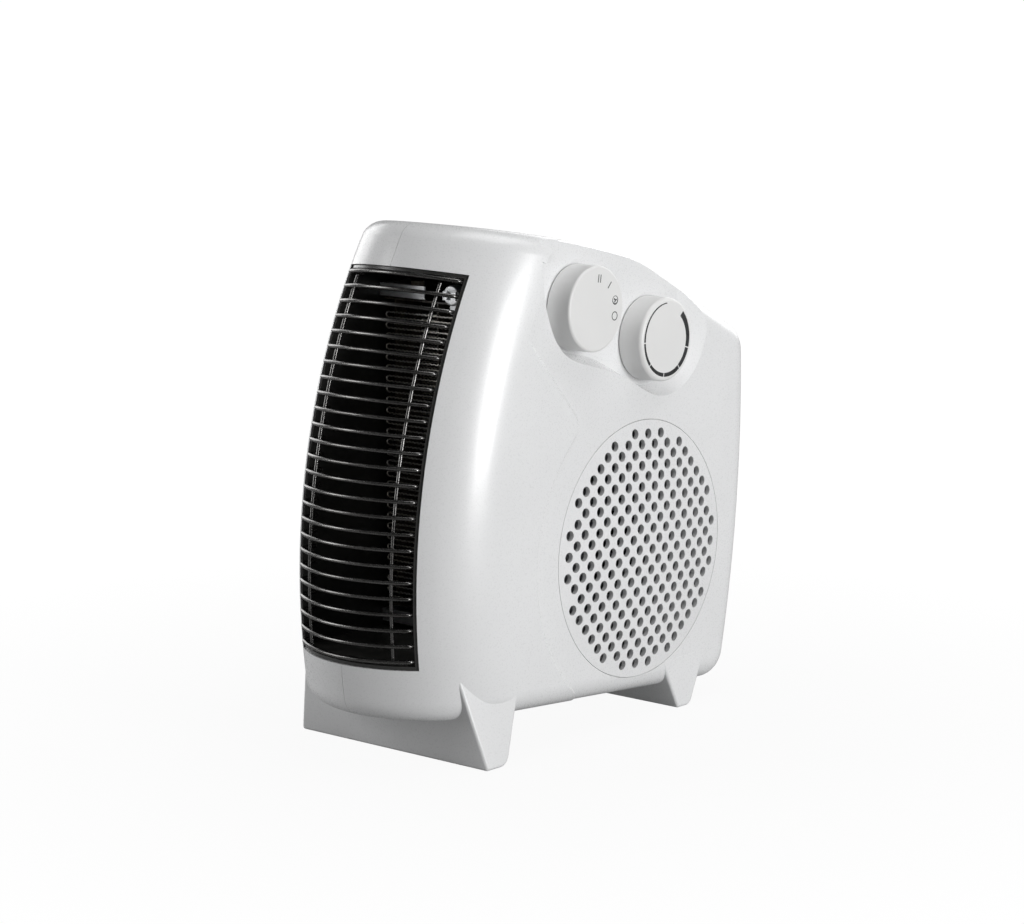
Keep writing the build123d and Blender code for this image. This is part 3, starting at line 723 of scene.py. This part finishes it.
# ---------------------------------------------------------------- meshes
def add_tube(bm: bmesh.types.BMesh, path: Sequence[Vector], radius: float, sides: int) -> None:
    """Sweeps a closed round tube with flat ends along a path.

    Args:
        bm: The mesh to fill.
        path: Points of the middle line.
        radius: Tube radius.
        sides: Number of sides of the section.
    """
    tangents = [(path[min(i + 1, len(path) - 1)] - path[max(i - 1, 0)]).normalized()
                for i in range(len(path))]
    across = tangents[0].orthogonal().normalized()
    rings = []
    for point, ahead in zip(path, tangents, strict=True):
        across = (across - ahead * across.dot(ahead)).normalized()
        up = ahead.cross(across)
        turns = [2 * math.pi * k / sides for k in range(sides)]
        rings.append([bm.verts.new(point + (across * math.cos(t) + up * math.sin(t)) * radius)
                      for t in turns])
    for first, second in zip(rings, rings[1:]):
        for k in range(sides):
            nxt = (k + 1) % sides
            bm.faces.new((first[k], first[nxt], second[nxt], second[k]))
    bm.faces.new(rings[0][::-1])
    bm.faces.new(rings[-1])


def add_plate(bm: bmesh.types.BMesh, outline: Sequence[Point], rise: float) -> None:
    """Adds a thin plate that stands out along +X.

    Args:
        bm: The mesh to fill.
        outline: Corners of the plate, counter-clockwise seen from +X.
        rise: Thickness.
    """
    low = [bm.verts.new(p) for p in outline]
    high = [bm.verts.new((x + rise, y, z)) for x, y, z in outline]
    bm.faces.new(high)
    bm.faces.new(low[::-1])
    for k in range(len(low)):
        nxt = (k + 1) % len(low)
        bm.faces.new((low[k], low[nxt], high[nxt], high[k]))


def finish_piece(bm: bmesh.types.BMesh, name: str, material: bpy.types.Material,
                 body: str) -> bpy.types.Object:
    """Turns a mesh under construction into a piece that rides on a body.

    Args:
        bm: The mesh; it is freed.
        name: Piece name.
        material: Its finish.
        body: CAD body that it rides on.

    Returns:
        The new object.
    """
    bmesh.ops.recalc_face_normals(bm, faces=bm.faces)
    mesh = bpy.data.meshes.new(name)
    bm.to_mesh(mesh)
    bm.free()
    mesh.materials.append(material)
    mesh.shade_smooth()
    mesh.set_sharp_from_angle(angle=math.radians(40))
    made = bpy.data.objects.new(name, mesh)
    bpy.context.scene.collection.objects.link(made)
    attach(made, body)
    LOG.info("%s rides on %s", name, body)
    return made


# ---------------------------------------------------------------- sub-assemblies
@dataclass
class KnobPrint:
    """A printed knob face. Angles run clockwise from the top, seen from the knob's side."""

    body: str
    node: str
    film: float = 0.03 * MM
    centre: Vector = field(init=False)
    face: float = field(init=False)

    def __post_init__(self) -> None:
        """Takes the knob's middle and face from the frame."""
        low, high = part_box(self.node)
        self.centre = (low + high) / 2
        self.face = high.x - 0.002 * MM

    def at(self, radius: float, degrees: float) -> Point:
        """Returns the point of the face at a radius and a clock angle."""
        turn = math.radians(degrees)
        return (self.face, self.centre.y + radius * math.sin(turn),
                self.centre.z + radius * math.cos(turn))

    def band(self, bm: bmesh.types.BMesh, start: float, end: float,
             inner: Callable[[float], float], outer: float, step: float = 2.0) -> None:
        """Adds an arc-shaped print.

        Args:
            bm: The mesh to fill.
            start: First clock angle.
            end: Last clock angle, larger than start.
            inner: Gives the inner radius at a clock angle.
            outer: Outer radius.
            step: Largest angle between two points.
        """
        count = max(1, math.ceil((end - start) / step))
        turns = [start + (end - start) * k / count for k in range(count + 1)]
        for a, b in zip(turns, turns[1:]):
            add_plate(bm, [self.at(inner(a), a), self.at(inner(b), b), self.at(outer, b),
                           self.at(outer, a)], self.film)
        bmesh.ops.remove_doubles(bm, verts=bm.verts, dist=0.001 * MM)
        inside = [f for f in bm.faces if any(
            g is not f and g.calc_center_median() == f.calc_center_median() for g in bm.faces)]
        bmesh.ops.delete(bm, geom=inside, context="FACES_ONLY")


@dataclass
class SelectorMarks(KnobPrint):
    """Heat and fan marks on the selector knob."""

    mark_radius: float = 14.0 * MM
    bar_long: float = 3.7 * MM
    stroke: float = 0.5 * MM
    places: dict[Mark, float] = field(default_factory=lambda: {
        Mark.TWO_BARS: 9.0, Mark.ONE_BAR: 43.0, Mark.FAN: 78.0, Mark.RING: 108.0})

    def local(self, degrees: float, along: float, out: float) -> Point:
        """Returns a face point measured from a mark's middle.

        Args:
            degrees: The mark's clock angle.
            along: Distance to the right of the mark's axis.
            out: Distance outwards along the axis.

        Returns:
            The point.
        """
        _, y, z = self.at(self.mark_radius + out, degrees)
        turn = math.radians(degrees)
        return (self.face, y + along * math.cos(turn), z - along * math.sin(turn))

    def bar(self, bm: bmesh.types.BMesh, degrees: float, shift: float) -> None:
        """Adds one bar beside a mark's axis."""
        half, wide = self.bar_long / 2, self.stroke / 2
        corners = [(-wide, -half), (wide, -half), (wide, half), (-wide, half)]
        add_plate(bm, [self.local(degrees, shift + a, b) for a, b in corners], self.film)

    def loop(self, bm: bmesh.types.BMesh, degrees: float, radius: float,
             wide: Callable[[float], float]) -> None:
        """Adds a ring whose stroke may change round it.

        Args:
            bm: The mesh to fill.
            degrees: The mark's clock angle.
            radius: Outer radius of the ring.
            wide: Gives the stroke's width at an angle in radians.
        """
        count = 40
        turns = [2 * math.pi * k / count for k in range(count)]
        rings = []
        for x in (0.0, self.film):
            for shrink in (0.0, 1.0):
                ring = []
                for t in turns:
                    r = radius - shrink * wide(t)
                    _, y, z = self.local(degrees, r * math.cos(t), r * math.sin(t))
                    ring.append(bm.verts.new((self.face + x, y, z)))
                rings.append(ring)
        outer_low, inner_low, outer_high, inner_high = rings
        for k in range(count):
            n = (k + 1) % count
            for a, b in ((outer_low, outer_high), (outer_high, inner_high),
                         (inner_high, inner_low), (inner_low, outer_low)):
                bm.faces.new((a[k], a[n], b[n], b[k]))

    def blade(self, bm: bmesh.types.BMesh, degrees: float, turn: float, reach: float) -> None:
        """Adds one rounded fan blade that starts at the mark's middle."""
        outline = []
        for k in range(18):
            t = 2 * math.pi * k / 18
            along, side = reach * (0.5 + 0.5 * math.cos(t)), reach * 0.3 * math.sin(t)
            outline.append(self.local(degrees, along * math.cos(turn) - side * math.sin(turn),
                                      along * math.sin(turn) + side * math.cos(turn)))
        add_plate(bm, outline, self.film)

    def build(self, wardrobe: Wardrobe) -> None:
        """Prints the four marks."""
        ring_r = 2.1 * MM
        for mark, degrees in self.places.items():
            bm = bmesh.new()
            if mark is Mark.TWO_BARS:
                for shift in (-0.8 * MM, 0.8 * MM):
                    self.bar(bm, degrees, shift)
            elif mark is Mark.ONE_BAR:
                self.bar(bm, degrees, 0.0)
            elif mark is Mark.FAN:
                self.loop(bm, degrees, ring_r, lambda t: (0.45 + 0.2 * math.cos(t)) * MM)
                for k in range(3):
                    self.blade(bm, degrees, math.pi / 2 + k * 2 * math.pi / 3, 1.25 * MM)
            else:
                self.loop(bm, degrees, ring_r, lambda _: 0.42 * MM)
            finish_piece(bm, f"mark_{mark.value}", wardrobe.of(DARK_INK), self.body)


@dataclass
class ThermostatScale(KnobPrint):
    """Tapered ring on the thermostat knob: thin at the cool end, wide at the warm end."""

    outer: float = 17.5 * MM
    thin: float = 0.45 * MM
    wide: float = 3.0 * MM
    start: float = 45.0
    end: float = 360.0
    gap: float = 0.9
    ticks: tuple[float, ...] = (108.0, 146.0, 188.0, 230.0, 270.0)

    def inner(self, degrees: float) -> float:
        """Returns the ring's inner radius at a clock angle."""
        share = (self.end - degrees) / (self.end - self.start)
        return self.outer - (self.thin + (self.wide - self.thin) * share)

    def build(self, wardrobe: Wardrobe) -> None:
        """Prints the ring in the stretches between its ticks."""
        edges = [self.start, *self.ticks, self.end]
        for number, (a, b) in enumerate(zip(edges, edges[1:]), 1):
            bm = bmesh.new()
            first = a if number == 1 else a + self.gap
            last = b if b == self.end else b - self.gap
            self.band(bm, first, last, self.inner, self.outer)
            finish_piece(bm, f"warmth_scale_{number}", wardrobe.of(DARK_INK), self.body)


@dataclass
class HeatingElement:
    """Lightly crimped resistance wire on both faces of the mica frame."""

    pitch: float = 2.5 * MM
    end_gap: float = 3.0 * MM
    reach: float = 30.0 * MM
    crimp: float = 0.12 * MM
    crimp_long: float = 2.4 * MM
    wire: float = 0.42 * MM
    points_per_crimp: int = 6
    sides: int = 6

    def route(self, y: float, low: float, high: float) -> list[Vector]:
        """Runs the wire to and fro across the frame.

        Args:
            y: Depth of the winding.
            low: Height of the frame's lower shelf.
            high: Height of its upper shelf.

        Returns:
            Points of the wire's middle line.
        """
        path: list[Vector] = []
        passes = int((high - low - 2 * self.end_gap) / self.pitch)
        waves = round(2 * self.reach / self.crimp_long)
        steps = waves * self.points_per_crimp
        for n in range(passes):
            z = low + self.end_gap + n * self.pitch
            side = 1 if n % 2 == 0 else -1
            for k in range(steps + 1):
                share = k / steps
                lift = self.crimp * math.sin(2 * math.pi * waves * share)
                path.append(Vector((side * self.reach * (2 * share - 1), y, z + lift)))
            if n < passes - 1:
                path.extend(Vector((side * (self.reach + self.pitch / 2 * math.sin(t)), y,
                                    z + self.pitch / 2 * (1 - math.cos(t))))
                            for t in (math.pi * k / 6 for k in range(1, 6)))
        return path

    def build(self, wardrobe: Wardrobe) -> None:
        """Winds both faces and stands in for the plain CAD windings."""
        low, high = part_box("mica_frame")
        material = wardrobe.of(FINISHES[Slot.RESISTANCE_WIRE])
        for node in ("front_winding", "rear_winding"):
            near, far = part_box(node)
            bm = bmesh.new()
            add_tube(bm, self.route((near.y + far.y) / 2, low.z + 0.8 * MM, high.z - 0.8 * MM),
                     self.wire, self.sides)
            made = finish_piece(bm, f"{node}_ribbon", material, ROOT)
            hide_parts(node)


@dataclass
class GuardWelds:
    """Spot welds where the bowed cross wires meet the uprights."""

    nose_y: float = 195.8 * MM
    nose_z: float = 77.5 * MM
    front_r: float = 314.3 * MM
    section_r: float = 56.3 * MM
    wires: int = 25
    first: float = -4.9
    last: float = 27.2
    upright_x: float = 25.0 * MM
    size: float = 0.9 * MM

    def build(self, wardrobe: Wardrobe) -> None:
        """Adds a flattened bead at each crossing."""
        bm = bmesh.new()
        back = self.section_r - math.sqrt(self.section_r ** 2 - self.upright_x ** 2)
        for n in range(self.wires):
            angle = self.first + (self.last - self.first) * n / (self.wires - 1)
            slope, lean = math.radians(angle), math.radians(angle / 2)
            y = self.nose_y - self.front_r * math.cos(slope) + back * math.cos(lean)
            z = self.nose_z + self.front_r * math.sin(slope) - back * math.sin(lean)
            for side in (-1, 1):
                middle = Vector((side * self.upright_x, y + self.size, z))
                path = [middle + Vector((0.0, self.size * t, 0.0)) for t in (-0.6, -0.2, 0.2, 0.6)]
                add_tube(bm, path, self.size * 0.75, 8)
        finish_piece(bm, "guard_spot_welds", wardrobe.of(FINISHES[Slot.GUARD_WIRE]), ROOT)


class Frame:
    """The CAD nodes themselves: each gets its slot's finish."""

    @staticmethod
    def dress(wardrobe: Wardrobe, frame: dict) -> None:
        """Gives every node its material.

        Args:
            wardrobe: Hands out the materials.
        """
        slots = {part["node"]: Slot(part["material_slot"]) for part in frame["record"]["subparts"]}
        for name, node in frame["nodes"].items():
            slot = slots[name]
            node.data.materials.clear()
            node.data.materials.append(wardrobe.of(FINISHES[slot]))
            LOG.info("%s takes %s", name, slot.value)


# ---------------------------------------------------------------- studio
@dataclass(frozen=True)
class Softbox:
    """A rectangular area light that looks at the heater's middle."""

    name: str
    place: Point
    size: tuple[float, float]
    power: float
    colour: Colour = (1.0, 1.0, 1.0)

    def hang(self, target: Vector) -> None:
        """Adds the light.

        Args:
            target: The point that it looks at.
        """
        light = bpy.data.lights.new(self.name, "AREA")
        light.shape = "RECTANGLE"
        light.size, light.size_y = self.size
        light.energy = self.power
        light.color = self.colour
        made = bpy.data.objects.new(self.name, light)
        made.location = self.place
        made.rotation_euler = (target - made.location).to_track_quat("-Z", "Y").to_euler()
        bpy.context.scene.collection.objects.link(made)


@dataclass
class Studio:
    """White sweep, soft lights and the camera."""

    azimuth: float = 40.0
    elevation: float = 10.0
    camera_place: Point = (0.8883, -1.0560, 0.3669)
    lens: float = 103.7
    floor_radius: float = 6.0
    floor_drop: float = 0.2 * MM
    floor_grey: Colour = (0.4, 0.4, 0.4)
    world_glow: float = 0.08
    backdrop: float = 1.02
    shadow_near: float = 0.12
    shadow_far: float = 0.5
    near_clean: float = 0.92
    boxes: tuple[Softbox, ...] = (
        Softbox("side_softbox", (1.7, -0.05, 0.4), (0.45, 0.7), 20.0),
        Softbox("top_softbox", (0.3, 0.1, 1.5), (0.9, 0.9), 8.0),
        Softbox("left_strip", (-1.2, -1.0, 0.45), (0.6, 1.3), 12.0),
        Softbox("rear_softbox", (-0.4, 1.5, 0.7), (1.2, 1.0), 8.0),
        Softbox("left_softbox", (-1.6, 0.4, 0.5), (0.9, 1.0), 7.0),
    )

    def light_world(self) -> None:
        """Makes a white backdrop that lights the object only gently."""
        world = bpy.data.worlds.new("white_studio")
        world.use_nodes = True
        graph = Graph(world.node_tree)
        seen = graph.node("LightPath").outputs["Is Camera Ray"]
        strength = graph.spread(seen, 0.0, 1.0, self.world_glow, self.backdrop)
        glow = graph.node("Background", {"Color": (1.0, 1.0, 1.0), "Strength": strength})
        graph.node("OutputWorld", {"Surface": glow.outputs[0]})
        bpy.context.scene.world = world

    def lay_floor(self) -> None:
        """Lays a round pale floor that keeps only a trace of the contact shadow."""
        bm = bmesh.new()
        bmesh.ops.create_circle(bm, cap_ends=True, segments=96, radius=self.floor_radius)
        mesh = bpy.data.meshes.new("studio_floor")
        bm.to_mesh(mesh)
        bm.free()
        floor = bpy.data.objects.new("studio_floor", mesh)
        floor.location.z = -self.floor_drop
        bpy.context.scene.collection.objects.link(floor)
        floor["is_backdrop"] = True
        material = bpy.data.materials.new("white_floor")
        material.use_nodes = True
        graph = Graph(material.node_tree)
        grey = graph.node("BsdfDiffuse", {"Color": self.floor_grey})
        white = graph.node("Emission", {"Color": (1.0, 1.0, 1.0), "Strength": self.backdrop})
        seen = graph.node("LightPath").outputs["Is Camera Ray"]
        away = graph.node("VectorMath", {0: graph.object_place()}, operation="LENGTH")
        clean = graph.spread(away.outputs["Value"], self.shadow_near, self.shadow_far,
                             self.near_clean, 1.0)
        share = graph.math("MULTIPLY", seen, clean)
        mixed = graph.node("MixShader", {0: share, 1: grey.outputs[0], 2: white.outputs[0]})
        graph.node("OutputMaterial", {"Surface": mixed.outputs[0]})
        mesh.materials.append(material)

    def place_camera(self) -> None:
        """Places the camera and makes it the scene's own."""
        lens = bpy.data.cameras.new("camera")
        lens.lens = self.lens
        lens.clip_start, lens.clip_end = 0.05, 30.0
        camera = bpy.data.objects.new("camera", lens)
        camera.location = self.camera_place
        camera.rotation_euler = (math.radians(90.0 - self.elevation), 0.0,
                                 math.radians(self.azimuth))
        bpy.context.scene.collection.objects.link(camera)
        bpy.context.scene.camera = camera

    def build(self) -> None:
        """Builds the studio round the frame."""
        low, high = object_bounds()
        self.light_world()
        self.lay_floor()
        for box in self.boxes:
            box.hang((low + high) / 2)
        self.place_camera()
        bpy.context.scene.view_settings.view_transform = "Standard"


def main() -> None:
    """Builds the heater's looks in order."""
    logging.basicConfig(level=logging.INFO, format="%(name)s: %(message)s")
    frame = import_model()
    wardrobe = Wardrobe()
    Frame.dress(wardrobe, frame)
    HeatingElement().build(wardrobe)
    GuardWelds().build(wardrobe)
    SelectorMarks("selector", "selector_knob").build(wardrobe)
    ThermostatScale("thermostat_dial", "thermostat_knob").build(wardrobe)
    Studio().build()


if __name__ == "__main__":
    main()
